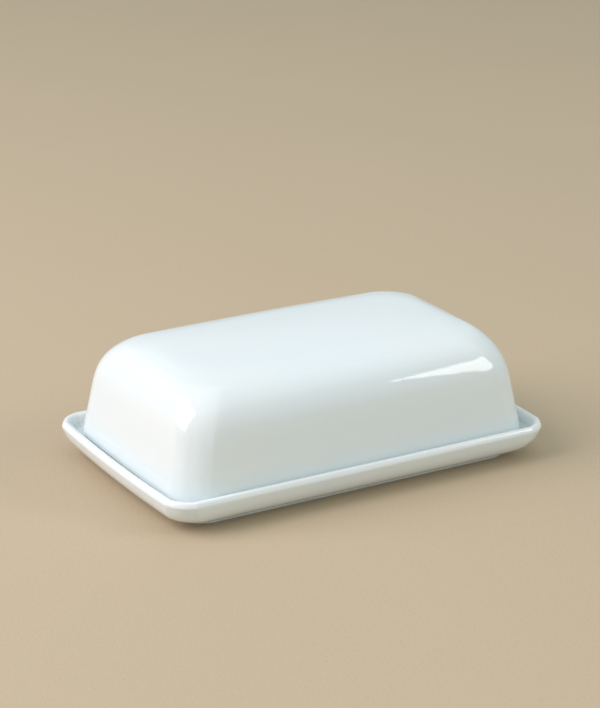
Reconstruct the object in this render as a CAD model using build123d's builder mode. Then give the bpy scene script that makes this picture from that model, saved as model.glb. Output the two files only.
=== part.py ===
from build123d import *
import os
from math import radians, tan

# A butter dish in glazed porcelain: a footed tray, and a hollow lid that stands
# loose on a ledge inside the tray's lip. Millimetres, +Z up, +X along the length.
# The origin is the centre of the foot ring's underside.

# Tray, measured over its bowed sides at the lip
tray_length = 190.0
tray_width = 120.0
tray_end_bow = 2.0
tray_side_bow = 0.1
tray_corner = 12.0
lip_top = 15.7
lip_thickness = 3.1
lip_rounding = 1.7
lip_foot = 5.0  # how far in the lip's leaning inside has come by the ledge
wall_top = 13.9  # where the outer wall meets the upright lip

# Foot ring and the hollow that it leaves underneath
foot_height = 2.2
foot_inset = 11.5
foot_thickness = 3.6
foot_rounding = 0.6
hollow_height = 3.4
hollow_rounding = 1.0

# Outer wall from the lip down to the foot ring, as the four control points of a
# Bezier curve, each an inset and a height: steep at first, then turning in below
wall_curve = ((0, wall_top), (1.0, 8.9), (3.1, 3.3), (11.2, foot_height))
wall_sections = 8

# Ledge that carries the lid, and the well inside it that holds the butter
ledge_height = 10.6
cove_radius = 2.2
well_inset = 13.6
well_corner = 11.0
well_floor = 8.0
well_edge_rounding = 0.9
well_floor_rounding = 1.4

# Lid, measured at the rim before its sides bow out
lid_length = 175.0
lid_width = 109.0
lid_end_bow = 0.55
rim_side_bow = 0.5
crown_side_bow = 1.6
lid_corner = 15.6
lid_wall = 4.2
lid_height = 48.5  # from rim to crown
crown_rise = 1.4  # how far the top swells above the shoulders
end_draft = 10.0  # degrees
side_draft = 7.9
end_shoulder = 16.4  # how far each shoulder reaches in
side_shoulder = 27.3
shoulder_drop = 22.9  # how far it reaches down
shoulder_fullness = 2.48  # 2 is an ellipse, more is squarer
rim_outer_rounding = 2.0
rim_inner_rounding = 1.2

# Where the lid's form is sectioned, round the shoulder and then over the crown
shoulder_shares = (0.0, 0.22, 0.42, 0.6, 0.75, 0.86, 0.94, 0.985)
crown_scales = (0.86, 0.66, 0.42)


def rounded_outline(height, length, width, end_bow, side_bow, corner):
    """A level face: a rounded rectangle whose sides bow out past its length and width."""
    x = length / 2
    y = width / 2
    with BuildSketch(Plane.XY.offset(height)) as outline:
        with BuildLine():
            ThreePointArc((x, -y), (x + end_bow, 0), (x, y))
            ThreePointArc((x, y), (0, y + side_bow), (-x, y))
            ThreePointArc((-x, y), (-x - end_bow, 0), (-x, -y))
            ThreePointArc((-x, -y), (0, -y - side_bow), (x, -y))
        make_face()
        fillet(outline.vertices(), corner)
    return outline.sketch


def bezier_point(points, share):
    """A point part of the way along a cubic Bezier curve."""
    weights = ((1 - share) ** 3, 3 * share * (1 - share) ** 2, 3 * share**2 * (1 - share), share**3)
    return [sum(weight * point[axis] for weight, point in zip(weights, points)) for axis in (0, 1)]


def tray_level(height, inset, corner):
    """The tray's outline at a height, moved inward."""
    length = tray_length - 2 * (tray_end_bow + inset)
    width = tray_width - 2 * (tray_side_bow + inset)
    return rounded_outline(height, length, width, tray_end_bow, tray_side_bow, corner)


def lid_level(rise, end_inset, side_inset, scale=1.0):
    """The lid's outline at a height above its rim, with the draft of its walls."""
    length = lid_length - 2 * (end_inset + rise * tan(radians(end_draft)))
    width = lid_width - 2 * (side_inset + rise * tan(radians(side_draft)))
    side_bow = rim_side_bow + (crown_side_bow - rim_side_bow) * rise / lid_height
    sizes = [scale * size for size in (length, width, lid_end_bow, side_bow, lid_corner)]
    return rounded_outline(ledge_height + rise, *sizes)


def lid_levels(inward):
    """The levels of the lid's form, moved inward: the straight wall, then the rest."""
    shoulder_top = lid_height - crown_rise - inward
    drop = shoulder_drop - inward
    end_reach = end_shoulder - inward
    side_reach = side_shoulder - inward
    wall_levels = [lid_level(0, inward, inward), lid_level(shoulder_top - drop, inward, inward)]
    upper_levels = []
    for share in shoulder_shares:
        rise = shoulder_top - drop * (1 - share)
        tuck = 1 - (1 - share**shoulder_fullness) ** (1 / shoulder_fullness)
        upper_levels.append(lid_level(rise, inward + end_reach * tuck, inward + side_reach * tuck))
    for scale in crown_scales:
        swell = crown_rise * (1 - scale**2) / (1 - crown_scales[-1] ** 2)
        upper_levels.append(lid_level(shoulder_top + swell, end_shoulder, side_shoulder, scale))
    return wall_levels, upper_levels


with BuildPart() as tray:
    # outer wall, from the foot ring out to the lip
    wall_levels = []
    for level in range(wall_sections):
        inset, height = bezier_point(wall_curve, 1 - level / (wall_sections - 1))
        wall_levels.append(tray_level(height, inset, tray_corner))
    loft(wall_levels)
    # upright lip
    extrude(tray_level(wall_top, 0, tray_corner), amount=lip_top - wall_top)
    # foot ring, and the hollow inside it
    extrude(tray_level(0, foot_inset, tray_corner), amount=hollow_height)
    hollow = tray_level(0, foot_inset + foot_thickness, tray_corner - foot_thickness)
    extrude(hollow, amount=hollow_height, mode=Mode.SUBTRACT)
    fillet(tray.edges().filter_by_position(Axis.Z, hollow_height, hollow_height), hollow_rounding)
    fillet(tray.faces().sort_by(Axis.Z)[0].edges(), foot_rounding)
    # inside of the lip, down to the ledge, with a cove at its foot
    mouth_levels = [(ledge_height, lip_foot), (lip_top, lip_thickness)]
    mouth = [tray_level(height, inset, tray_corner - inset) for height, inset in mouth_levels]
    loft(mouth, ruled=True, mode=Mode.SUBTRACT)
    fillet(tray.edges().filter_by_position(Axis.Z, ledge_height, ledge_height), cove_radius)
    # well
    well = tray_level(well_floor, well_inset, well_corner)
    extrude(well, amount=ledge_height - well_floor, mode=Mode.SUBTRACT)
    fillet(tray.edges().filter_by_position(Axis.Z, well_floor, well_floor), well_floor_rounding)
    ledge = tray.faces().filter_by_position(Axis.Z, ledge_height, ledge_height)[0]
    fillet(ledge.inner_wires()[0].edges(), well_edge_rounding)
    # rolled top of the lip
    fillet(tray.faces().sort_by(Axis.Z)[-1].edges(), lip_rounding)

with BuildPart() as lid:
    outer_wall, outer_upper = lid_levels(0)
    loft(outer_wall, ruled=True)
    loft(outer_upper)
    fillet(lid.faces().sort_by(Axis.Z)[0].edges(), rim_outer_rounding)
    # inside, one wall thickness in from the outside
    inner_wall, inner_upper = lid_levels(lid_wall)
    loft(inner_wall, ruled=True, mode=Mode.SUBTRACT)
    loft(inner_upper, mode=Mode.SUBTRACT)
    fillet(lid.faces().sort_by(Axis.Z)[0].inner_wires()[0].edges(), rim_inner_rounding)

tray.part.label = "tray"
lid.part.label = "lid"

os.makedirs("parts", exist_ok=True)
export_step(tray.part, "parts/tray.step")
export_step(lid.part, "parts/lid.step")
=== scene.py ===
import math

import bmesh
import bpy
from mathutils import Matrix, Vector, noise


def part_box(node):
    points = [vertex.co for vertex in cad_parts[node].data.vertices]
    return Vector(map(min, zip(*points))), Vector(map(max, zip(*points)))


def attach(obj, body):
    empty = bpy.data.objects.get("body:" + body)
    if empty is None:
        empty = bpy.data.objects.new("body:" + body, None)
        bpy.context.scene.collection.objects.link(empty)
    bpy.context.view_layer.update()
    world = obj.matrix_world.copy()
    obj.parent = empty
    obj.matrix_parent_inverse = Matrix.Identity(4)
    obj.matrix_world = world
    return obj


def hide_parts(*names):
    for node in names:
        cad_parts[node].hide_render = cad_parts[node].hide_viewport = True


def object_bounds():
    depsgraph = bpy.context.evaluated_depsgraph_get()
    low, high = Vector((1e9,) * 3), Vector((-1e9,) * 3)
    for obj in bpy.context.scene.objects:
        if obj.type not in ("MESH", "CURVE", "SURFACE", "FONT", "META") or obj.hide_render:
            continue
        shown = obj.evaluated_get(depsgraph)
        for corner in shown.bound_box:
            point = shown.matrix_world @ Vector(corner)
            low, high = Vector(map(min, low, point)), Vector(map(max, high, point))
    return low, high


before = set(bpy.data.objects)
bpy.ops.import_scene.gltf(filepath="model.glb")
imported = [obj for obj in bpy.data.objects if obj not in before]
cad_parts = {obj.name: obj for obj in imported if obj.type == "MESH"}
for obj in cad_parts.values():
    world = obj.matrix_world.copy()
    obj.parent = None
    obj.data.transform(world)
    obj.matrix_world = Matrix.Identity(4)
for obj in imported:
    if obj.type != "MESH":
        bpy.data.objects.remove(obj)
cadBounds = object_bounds()

mm = 0.001
trayLow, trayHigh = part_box("tray")
lidLow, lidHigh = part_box("lid")
dishLow, dishHigh = cadBounds


# Shader maths: a Wire is a node's output, and arithmetic on it adds Math nodes
class Wire:
    def __init__(self, shader, socket):
        self.shader = shader
        self.socket = socket

    def math(self, operation, first, second):
        return self.shader.node("ShaderNodeMath", {"operation": operation}, {0: first, 1: second})

    def __add__(self, other):
        return self.math("ADD", self, other)

    def __radd__(self, other):
        return self.math("ADD", other, self)

    def __sub__(self, other):
        return self.math("SUBTRACT", self, other)

    def __rsub__(self, other):
        return self.math("SUBTRACT", other, self)

    def __mul__(self, other):
        return self.math("MULTIPLY", self, other)

    def __rmul__(self, other):
        return self.math("MULTIPLY", other, self)


class Shader:
    def __init__(self, name):
        self.material = bpy.data.materials.new(name)
        self.material.use_nodes = True
        self.tree = self.material.node_tree
        self.tree.nodes.clear()

    def node(self, kind, settings=None, inputs=None, output=0):
        made = self.tree.nodes.new(kind)
        for name, value in (settings or {}).items():
            setattr(made, name, value)
        for name, value in (inputs or {}).items():
            if isinstance(value, Wire):
                self.tree.links.new(value.socket, made.inputs[name])
            else:
                made.inputs[name].default_value = value
        return Wire(self, made.outputs[output]) if made.outputs else None

    def mix(self, share, first, second):  # two colours, by share of the second
        return self.node("ShaderNodeMix", {"data_type": "RGBA"}, {0: share, 6: first, 7: second}, 2)

    def step(self, value, low, high):  # 0 below low, 1 above high, smooth between
        smooth = {"interpolation_type": "SMOOTHSTEP"}
        return self.node("ShaderNodeMapRange", smooth, {"Value": value, "From Min": low, "From Max": high})

    def noise(self, scale, detail=2.0, offset=(0, 0, 0)):
        place = self.node("ShaderNodeTexCoord", output="Object")
        place = self.node("ShaderNodeMapping", None, {"Vector": place, "Location": offset})
        return self.node("ShaderNodeTexNoise", None, {"Vector": place, "Scale": scale, "Detail": detail})

    def cells(self, scale, output, offset=(0, 0, 0)):
        place = self.node("ShaderNodeTexCoord", output="Object")
        place = self.node("ShaderNodeMapping", None, {"Vector": place, "Location": offset})
        return self.node("ShaderNodeTexVoronoi", None, {"Vector": place, "Scale": scale}, output)


glaze = {
    "white": (0.775, 0.82, 0.825, 1),
    "warmWhite": (0.79, 0.82, 0.812, 1),
    "pooled": (0.66, 0.765, 0.80, 1),  # where the glaze lies thick; low on the lid the same tint is a painted bluish reflection of the lip and sky
    "thin": (0.85, 0.855, 0.845, 1),  # where it runs off an edge
    "bisque": (0.66, 0.62, 0.56, 1),  # bare fired body
    "speck": (0.36, 0.30, 0.25, 1),
    "toneScale": 14,
    "poolScale": 90,  # of the unevenness of the pooled glaze and painted reflection tint
    "thinTint": 0.6,
    "speckScale": 42,
    "speckSize": 0.014,  # share of a cell
    "speckedCells": 0.86,  # cells whose pick is above this hold a speck
    "speckTint": 0.55,
    "lineScale": 260,  # of the glaze line's waver
    "grainScale": 1500,  # of the bare body
    "pitHeight": 0.00004,
    "roughness": 0.035,
    "smearScale": 60,
    "smearRoughness": 0.03,
    "bareRoughness": 0.5,
    "scatter": 0.2,
    "scatterDepth": 0.0015,
    "ripple": 34,  # slow waves in the glaze
    "rippleHeight": 0.00007,
    "dimple": 130,  # shorter ones
    "dimpleHeight": 0.00003,
    "peel": 520,  # fine orange peel
    "peelHeight": 0.0000022,
}


def glazedPorcelain(name, offset):
    shader = Shader(name)
    pool = shader.node("ShaderNodeAttribute", {"attribute_name": "pool"}, output="Fac")
    thin = shader.node("ShaderNodeAttribute", {"attribute_name": "thin"}, output="Fac")
    bare = shader.node("ShaderNodeAttribute", {"attribute_name": "bare"}, output="Fac")

    # white body, a little warmer and cooler from place to place
    tone = shader.step(shader.noise(glaze["toneScale"], 3, offset), 0.35, 0.65)
    colour = shader.mix(tone, glaze["white"], glaze["warmWhite"])
    wander = shader.noise(glaze["poolScale"], 2, offset)
    # pooled glaze in hollows, and low on the lid a painted bluish reflection of the lip and sky in the same
    # tint
    colour = shader.mix(pool * (0.55 + 0.45 * wander), colour, glaze["pooled"])
    colour = shader.mix(thin * glaze["thinTint"], colour, glaze["thin"])

    # iron specks under the glaze, in a few of the cells only
    spot = shader.cells(glaze["speckScale"], "Distance", offset)
    pick = shader.cells(glaze["speckScale"], "Color", offset)
    pick = shader.node("ShaderNodeSeparateColor", None, {"Color": pick}, "Red")
    chosen = shader.step(pick, glaze["speckedCells"], glaze["speckedCells"] + 0.02)
    inside = 1 - shader.step(spot, glaze["speckSize"] * 0.6, glaze["speckSize"])
    colour = shader.mix(inside * chosen * glaze["speckTint"], colour, glaze["speck"])

    # the bare rings, with a glaze line that wavers
    edge = bare + (shader.noise(glaze["lineScale"], 3, offset) - 0.5) * 0.5
    unglazed = shader.step(edge, 0.45, 0.6)
    grain = shader.noise(glaze["grainScale"], 2, offset)
    bisque = shader.mix(grain, glaze["bisque"], glaze["thin"])
    colour = shader.mix(unglazed, colour, bisque)

    smear = shader.noise(glaze["smearScale"], 4, offset)
    roughness = glaze["roughness"] + glaze["smearRoughness"] * smear + unglazed * glaze["bareRoughness"]

    ripple = shader.noise(glaze["ripple"], 0, offset) * glaze["rippleHeight"]
    dimple = shader.noise(glaze["dimple"], 0, offset) * glaze["dimpleHeight"]
    peel = shader.noise(glaze["peel"], 1, offset) * glaze["peelHeight"]
    pits = grain * unglazed * glaze["pitHeight"]
    height = ripple + dimple + peel + pits
    normal = shader.node("ShaderNodeBump", None, {"Height": height, "Strength": 1.0, "Distance": 1.0})

    surface = shader.node(
        "ShaderNodeBsdfPrincipled",
        {"subsurface_method": "RANDOM_WALK"},
        {
            "Base Color": colour,
            "Roughness": roughness,
            "Normal": normal,
            "IOR": 1.5,
            "Subsurface Weight": glaze["scatter"],
            "Subsurface Radius": (1.0, 0.9, 0.8),
            "Subsurface Scale": glaze["scatterDepth"],
        },
    )
    shader.node("ShaderNodeOutputMaterial", None, {"Surface": surface})
    return shader.material


# Both pieces are formed level by level. A level is a rounded outline with bowed sides:
# height, half length, half width, corner radius, end bow, side bow, and how the glaze lies there, with a
# painted reflection laid on as pooling low on the lid.
def level(height, halfLength, halfWidth, corner, bows, pool=0.0, thin=0.0, bare=0.0):
    return {
        "height": height,
        "half": (halfLength, halfWidth),
        "corner": corner,
        "bows": bows,
        "glaze": {"pool": pool, "thin": thin, "bare": bare},
    }


mesh = {
    "segments": (16, 12),  # of the grid that closes each end of a form
    "straight": (0.625, 0.5),  # how far out along each side its straight part runs
    "wobble": 0.00007,  # firing leaves nothing quite true
    "wobbleScale": 22,
    "wobbleFade": 6 * mm,  # how far from a resting height it is at full strength
    "weld": 0.001 * mm,
    "subdivision": 2,
    "cageFits": 2,
    "softening": 8,  # rounds of smoothing over the crown
}


# where a seat on the unit square lands on a level's outline
def outlinePoint(seat, at):
    reach = max(abs(seat.x), abs(seat.y))
    if reach < 1e-6:
        return Vector((0, 0))
    u, v = seat.x / reach, seat.y / reach
    along, across = mesh["straight"]
    if abs(v) >= abs(u):  # a long side
        turn = max(0, (abs(u) - along) / (1 - along)) * math.pi / 4
        lean = Vector((math.copysign(math.sin(turn), u), math.copysign(math.cos(turn), v)))
        share = Vector((max(-1, min(1, u / along)), math.copysign(1, v)))
    else:
        turn = max(0, (abs(v) - across) / (1 - across)) * math.pi / 4
        lean = Vector((math.copysign(math.cos(turn), u), math.copysign(math.sin(turn), v)))
        share = Vector((math.copysign(1, u), max(-1, min(1, v / across))))
    halfLength, halfWidth = at["half"]
    corner = at["corner"]
    x = share.x * (halfLength - corner) + lean.x * corner
    y = share.y * (halfWidth - corner) + lean.y * corner
    endBow, sideBow = at["bows"]
    bowed = Vector((
        x * (1 + endBow / halfLength * (1 - (y / halfWidth) ** 2)),
        y * (1 + sideBow / halfWidth * (1 - (x / halfLength) ** 2)),
    ))
    return bowed * reach


def setLevel(bm, verts, at, rise=0.0):
    seats = bm.verts.layers.float_vector["seat"]
    for vert in verts:
        seat = vert[seats]
        point = outlinePoint(seat, at)
        reach = max(abs(seat.x), abs(seat.y))
        vert.co = (point.x, point.y, at["height"] + rise * (1 - reach**2))
        for name, amount in at["glaze"].items():
            vert[bm.verts.layers.float[name]] = amount


# a grid that closes one end of a form, swelling by rise in the middle
def addCap(bm, at, rise=0.0):
    across, along = mesh["segments"]
    made = bmesh.ops.create_grid(bm, x_segments=across, y_segments=along, size=1)["verts"]
    seats = bm.verts.layers.float_vector["seat"]
    for vert in made:
        vert[seats] = vert.co
    setLevel(bm, made, at, rise)
    return made


# the open edges among some vertices, in the order in which they are met
def rimOf(verts):
    within = set(verts)
    edges = dict.fromkeys(edge for vert in verts for edge in vert.link_edges)
    return [edge for edge in edges if edge.is_boundary and set(edge.verts) <= within]


# closed form: a cap, the levels in order, and a second cap welded to the last level
def makeForm(name, levels, firstRise, lastRise, steady, soften):
    bm = bmesh.new()
    bm.verts.layers.float_vector.new("seat")
    for glazing in ("pool", "thin", "bare"):
        bm.verts.layers.float.new(glazing)
    ring = rimOf(addCap(bm, levels[0], firstRise))
    for at in levels[1:]:
        made = bmesh.ops.extrude_edge_only(bm, edges=ring)["geom"]
        verts = [g for g in made if isinstance(g, bmesh.types.BMVert)]
        setLevel(bm, verts, at)
        ring = rimOf(verts)
    cap = addCap(bm, levels[-1], lastRise)
    bmesh.ops.remove_doubles(bm, verts=verts + cap, dist=mesh["weld"])
    bmesh.ops.recalc_face_normals(bm, faces=bm.faces)
    # the crown eases into the shoulders without a line
    crown = [vert for vert in bm.verts if vert.co.z > soften]
    axes = {"use_axis_x": True, "use_axis_y": True, "use_axis_z": True}
    for turn in range(mesh["softening"]):
        bmesh.ops.smooth_vert(bm, verts=crown, factor=0.5, **axes)
    # slow wobble, fading out near the heights where a piece rests on another
    for vert in bm.verts:
        spot = vert.co * mesh["wobbleScale"]
        free = min([1] + [abs(vert.co.z - height) / mesh["wobbleFade"] for height in steady])
        vert.co += noise.noise_vector(spot) * mesh["wobble"] * free
    for face in bm.faces:
        face.smooth = True
    shape = bpy.data.meshes.new(name)
    bm.to_mesh(shape)
    bm.free()
    piece = bpy.data.objects.new(name, shape)
    bpy.context.scene.collection.objects.link(piece)
    finish = piece.modifiers.new("Subdivision", "SUBSURF")
    finish.levels = finish.render_levels = mesh["subdivision"]
    fitCage(piece)
    return piece


# subdivision draws a surface in from its cage, so the cage goes out until the surface meets the levels
def fitCage(piece):
    wanted = [vert.co.copy() for vert in piece.data.vertices]
    for turn in range(mesh["cageFits"]):
        smooth = piece.evaluated_get(bpy.context.evaluated_depsgraph_get())
        drawnIn = [smooth.data.vertices[index].co.copy() for index in range(len(wanted))]
        for vert, target, now in zip(piece.data.vertices, wanted, drawnIn):
            vert.co += target - now
        piece.data.update()


# points of an arc in a section, as (inset, height)
def arc(centre, radius, start, end, steps):
    points = []
    for step in range(steps + 1):
        angle = math.radians(start + (end - start) * step / steps)
        points.append((centre[0] + radius[0] * math.cos(angle), centre[1] + radius[1] * math.sin(angle)))
    return points


tray = {
    "endBow": 2.0 * mm,
    "sideBow": 0.1 * mm,
    "corner": 12.0 * mm,
    "lipThickness": 3.1 * mm,
    "lipRounding": 1.7 * mm,
    "lipFall": (1.6 * mm, 2.8 * mm),  # its outside falls away more slowly
    "lipFoot": 5.0 * mm,  # where the lip's leaning inside reaches the ledge
    "wallCurve": ((0, 13.9), (1.0, 8.9), (3.1, 3.3), (11.2, 2.2)),  # inset and height, in mm
    "wallSteps": 9,
    "footHeight": 2.2 * mm,
    "footInset": 11.5 * mm,
    "footThickness": 3.6 * mm,
    "footRounding": 0.6 * mm,
    "hollowHeight": 3.4 * mm,
    "hollowRounding": 1.0 * mm,
    "hollowMargin": 6 * mm,  # how far the last level lies inside the hollow's edge
    "cove": 2.2 * mm,
    "wellInset": 13.6 * mm,
    "wellCorner": 11 * mm,
    "wellFloor": 8.0 * mm,
    "wellEdge": 0.9 * mm,
    "wellRounding": 1.4 * mm,
    "wellMargin": 5 * mm,  # how far the first level lies inside the well's edge
    "ledgeMiddle": 9.5 * mm,
}


# a cubic Bezier curve, as (inset, height) points
def bezier(points, steps):
    curve = []
    for step in range(steps + 1):
        share = step / steps
        weights = ((1 - share) ** 3, 3 * share * (1 - share) ** 2, 3 * share**2 * (1 - share), share**3)
        curve.append(tuple(sum(w * p[axis] for w, p in zip(weights, points)) * mm for axis in (0, 1)))
    return curve


def trayLevels():
    halfLength = trayHigh.x - tray["endBow"]
    halfWidth = trayHigh.y - tray["sideBow"]
    lipTop = trayHigh.z
    ledge = lidLow.z
    levels = []

    # levels through (inset, height) points, with the corner going from one radius to another
    def add(points, corners, insets, **lie):
        for inset, height in points:
            share = (inset - insets[0]) / (insets[1] - insets[0])
            corner = corners[0] + (corners[1] - corners[0]) * share
            bows = (tray["endBow"], tray["sideBow"])
            levels.append(level(height, halfLength - inset, halfWidth - inset, corner, bows, **lie))

    well, floor, corner = tray["wellInset"], tray["wellFloor"], tray["corner"]
    lip, cove, lipFoot = tray["lipThickness"], tray["cove"], tray["lipFoot"]
    lean = math.atan2(lipFoot - lip, lipTop - ledge)
    leanDegrees = math.degrees(lean)
    coveIn = lipFoot + cove * math.tan((math.pi / 2 - lean) / 2)  # where the cove meets the ledge
    inside = (tray["wellCorner"], corner - coveIn), (well, coveIn)
    rounding = tray["wellRounding"]
    wellSide = arc((well + rounding, floor + rounding), (rounding, rounding), 270, 180, 4)
    add([(well + tray["wellMargin"], floor)] + wellSide[:1], *inside, pool=0.3)
    add(wellSide[1:], *inside, pool=0.9)
    edge = tray["wellEdge"]
    add(arc((well - edge, ledge - edge), (edge, edge), 0, 90, 3), *inside, thin=0.5)
    add([(tray["ledgeMiddle"], ledge)], *inside)
    around = (corner, 0), (0, corner)  # corners that stay concentric with the outside
    coveSide = arc((coveIn, ledge + cove), (cove, cove), 270, 180 + leanDegrees, 5)
    add(coveSide, *around, pool=0.35)
    # rolled lip, then the outer wall
    roll = tray["lipRounding"]
    rollIn = lip + roll * math.tan(lean) - roll / math.cos(lean)
    add(arc((rollIn, lipTop - roll), (roll, roll), leanDegrees, 90, 4), *around, thin=0.8)
    fall = tray["lipFall"]
    add(arc((fall[0], lipTop - fall[1]), fall, 106, 168, 4), *around, thin=0.6)
    wall = bezier(tray["wallCurve"], tray["wallSteps"])
    outside = (corner, corner), (0, lip)
    add(wall[1:-1], *outside)
    add([(wall[-1][0] - 0.1 * mm, wall[-1][1])], *outside, pool=0.2)
    # foot ring, bare underneath
    foot, footHeight, turn = tray["footInset"], tray["footHeight"], tray["footRounding"]
    add([(foot, footHeight - 0.3 * mm)], *outside, pool=0.3)
    add(arc((foot + turn, turn), (turn, turn), 180, 260, 3), *outside)
    footIn = foot + tray["footThickness"]
    ring = (corner, corner - tray["footThickness"]), (foot, footIn)
    add([(foot + turn, 0), (footIn - turn, 0)], *ring, bare=1.0)
    add(arc((footIn - turn, turn), (turn, turn), 280, 360, 3), *ring)
    top, turn = tray["hollowHeight"], tray["hollowRounding"]
    hollowSide = arc((footIn + turn, top - turn), (turn, turn), 180, 90, 3)
    innerCorner = corner - tray["footThickness"]
    underside = (innerCorner, innerCorner), (foot, footIn)
    add(hollowSide, *underside, pool=0.7)
    add([(footIn + tray["hollowMargin"], top)], *underside)
    return levels


lid = {
    "endBow": 0.55 * mm,
    "rimSideBow": 0.5 * mm,
    "crownSideBow": 1.6 * mm,
    "length": 175.0 * mm,
    "width": 109.0 * mm,
    "corner": 15.6 * mm,
    "wall": 4.2 * mm,
    "crownRise": 1.4 * mm,
    "crownDepth": 3.6 * mm,  # how far below its top the crown is softened
    "endDraft": 10.0,  # degrees
    "sideDraft": 7.9,
    "endShoulder": 16.4 * mm,
    "sideShoulder": 27.3 * mm,
    "shoulderDrop": 22.9 * mm,
    "fullness": 2.48,  # of the shoulder: 2 is an ellipse, more is squarer
    "shoulderAngles": (90, 84, 77, 69, 60, 50, 40, 30, 20, 10, 0),  # where the shoulder has levels
    "wallShares": (0.72, 0.48, 0.26),  # and the wall below it
    "paintedLowGlow": 0.3,  # painted bluish reflection of the lip and sky, growing towards the rim, laid on as extra pooled tint
    "rimOuter": 2.0 * mm,
    "rimInner": 1.2 * mm,
}


def lidLevels():
    rimHeight = lidLow.z
    height = lidHigh.z - lidLow.z

    def at(rise, endInset, sideInset, **lie):
        halfLength = lid["length"] / 2 - endInset - rise * math.tan(math.radians(lid["endDraft"]))
        halfWidth = lid["width"] / 2 - sideInset - rise * math.tan(math.radians(lid["sideDraft"]))
        sideBow = lid["rimSideBow"] + (lid["crownSideBow"] - lid["rimSideBow"]) * rise / height
        bows = (lid["endBow"], sideBow)
        return level(rimHeight + rise, halfLength, halfWidth, lid["corner"], bows, **lie)

    # from the crown round the shoulder and down the wall, with the surface moved inward
    def side(inward, pool):
        top = height - lid["crownRise"] - inward
        drop = lid["shoulderDrop"] - inward
        levels = []
        for angle in lid["shoulderAngles"]:
            turn = math.radians(angle)
            tuck = 1 - max(0, math.cos(turn)) ** (2 / lid["fullness"])
            share = math.sin(turn) ** (2 / lid["fullness"])
            rise = top - drop + drop * share
            endInset = inward + (lid["endShoulder"] - inward) * tuck
            sideInset = inward + (lid["sideShoulder"] - inward) * tuck
            levels.append(at(rise, endInset, sideInset, pool=pool))
        for share in lid["wallShares"]:
            # pooled glaze, plus a painted reflection of the lip and sky that grows towards the rim
            pooled = pool + lid["paintedLowGlow"] * (1 - share) ** 2
            levels.append(at((top - drop) * share, inward, inward, pool=pooled))
        return levels

    outer = lid["rimOuter"]
    inner = lid["rimInner"]
    wall = lid["wall"]
    levels = side(0, 0.0)
    for inset, rise in arc((outer, outer), (outer, outer), 180, 270, 5)[:-1]:
        levels.append(at(rise, inset, inset, pool=0.4))
    levels.append(at(0, outer, outer, bare=1.0))
    levels.append(at(0, wall - inner, wall - inner, bare=1.0))
    for inset, rise in arc((wall - inner, inner), (inner, inner), 270, 360, 4)[1:]:
        levels.append(at(rise, inset, inset, thin=0.3))
    levels += reversed(side(wall, 0.15))
    return levels


print("forming the tray")
trayForm = makeForm("tray_porcelain", trayLevels(), 0, 0, (trayLow.z, lidLow.z), trayHigh.z)
trayForm.data.materials.append(glazedPorcelain("tray glaze", (0, 0, 0)))
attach(trayForm, "tray")
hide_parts("tray")

print("forming the lid")
crownBase = lidHigh.z - lid["crownDepth"]
lidForm = makeForm("lid_porcelain", lidLevels(), lid["crownRise"], lid["crownRise"], (lidLow.z,), crownBase)
lidForm.data.materials.append(glazedPorcelain("lid glaze", (0.31, 0.17, 0.05)))
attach(lidForm, "lid")
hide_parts("lid")


print("setting the table")
table = {
    "size": 6.0,
    "colour": (0.53, 0.415, 0.28, 1),
    "fleck": (0.40, 0.30, 0.19, 1),
    "cloudScale": 9,
    "fleckScale": 900,
    "bumpScale": 700,
    "bumpHeight": 0.0001,
    "roughness": 0.75,
}


def paleTable():
    shader = Shader("pale table")
    cloud = shader.noise(table["cloudScale"], 4)
    fleck = shader.step(shader.noise(table["fleckScale"], 3), 0.55, 0.72)
    colour = shader.mix(fleck * 0.35 + cloud * 0.12, table["colour"], table["fleck"])
    height = shader.noise(table["bumpScale"], 3) * table["bumpHeight"]
    bump = shader.node("ShaderNodeBump", None, {"Height": height, "Distance": 1.0})
    parts = {"Base Color": colour, "Roughness": table["roughness"], "Normal": bump}
    surface = shader.node("ShaderNodeBsdfPrincipled", None, parts)
    shader.node("ShaderNodeOutputMaterial", None, {"Surface": surface})
    return shader.material


bm = bmesh.new()
bmesh.ops.create_grid(bm, x_segments=4, y_segments=4, size=table["size"] / 2)
top = bpy.data.meshes.new("table_top")
bm.to_mesh(top)
bm.free()
tableTop = bpy.data.objects.new("table_top", top)
bpy.context.scene.collection.objects.link(tableTop)
tableTop.location.z = dishLow.z
tableTop.data.materials.append(paleTable())


print("lighting")
middle = (dishLow + dishHigh) / 2


# direction from the dish, as seen from above: azimuth 0 is the front, 90 the right end
def direction(azimuth, elevation):
    turn, lift = math.radians(azimuth), math.radians(elevation)
    return Vector((math.sin(turn) * math.cos(lift), -math.cos(turn) * math.cos(lift), math.sin(lift)))


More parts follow.
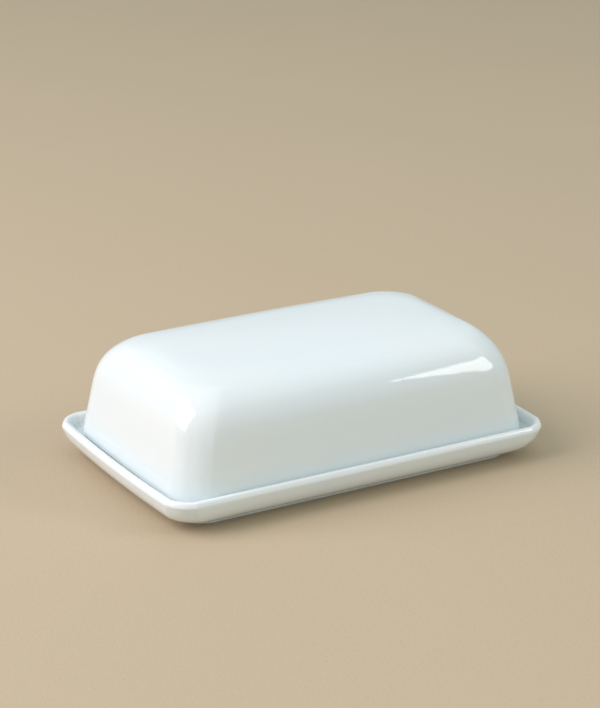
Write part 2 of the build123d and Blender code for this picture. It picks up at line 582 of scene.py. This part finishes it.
# an even light at a place away from the dish, turned to face along a direction
def softbox(name, place, facing, size, brightness, colour):
    light = bpy.data.lights.new(name, "AREA")
    light.shape = "RECTANGLE"
    light.size, light.size_y = size
    light.energy = brightness * size[0] * size[1] * math.pi
    light.color = colour
    holder = bpy.data.objects.new(name, light)
    bpy.context.scene.collection.objects.link(holder)
    holder.location = middle + place
    holder.rotation_euler = facing.to_track_quat("-Z", "Y").to_euler()


lights = {
    "left window": {"way": (-107, 37), "size": (1.6, 1.7), "brightness": 4.3, "colour": (0.98, 0.94, 1.0)},
    "ceiling": {"way": (60, 80), "size": (2.2, 2.2), "brightness": 0.42, "colour": (1.0, 0.97, 0.94)},
    "front fill": {"way": (-35, 10), "size": (1.8, 0.8), "brightness": 0.55, "colour": (0.86, 0.96, 1.0)},
}
lightDistance = 2.0
for name, light in lights.items():
    way = direction(*light["way"])
    softbox(name, way * lightDistance, -way, light["size"], light["brightness"], light["colour"])
softbox("right window", Vector((1.9, -1.88, 1.49)), Vector((-1, 0, 0)), (1.2, 1.2), 6.5, (0.97, 1.0, 1.0))

studio = {
    "colour": (0.76, 0.885, 0.905, 1),
    "strength": 0.57,
}
world = bpy.data.worlds.new("studio")
bpy.context.scene.world = world
world.use_nodes = True
background = world.node_tree.nodes["Background"]
background.inputs["Color"].default_value = studio["colour"]
background.inputs["Strength"].default_value = studio["strength"]


camera = {
    "azimuth": -30.056,
    "elevation": 19.768,
    "distance": 1.028,
    "aim": (8.5 * mm, 16.2 * mm, 10.6 * mm),  # from the middle of the dish
    "lens": 116.76,
    "sensor": 36,
}
view = bpy.data.cameras.new("camera")
view.lens = camera["lens"]
view.sensor_width = camera["sensor"]
view.clip_start = 0.01
viewer = bpy.data.objects.new("camera", view)
bpy.context.scene.collection.objects.link(viewer)
outward = direction(camera["azimuth"], camera["elevation"])
viewer.location = middle + Vector(camera["aim"]) + outward * camera["distance"]
viewer.rotation_euler = outward.to_track_quat("Z", "Y").to_euler()
bpy.context.scene.camera = viewer
bpy.context.scene.view_settings.view_transform = "Standard"
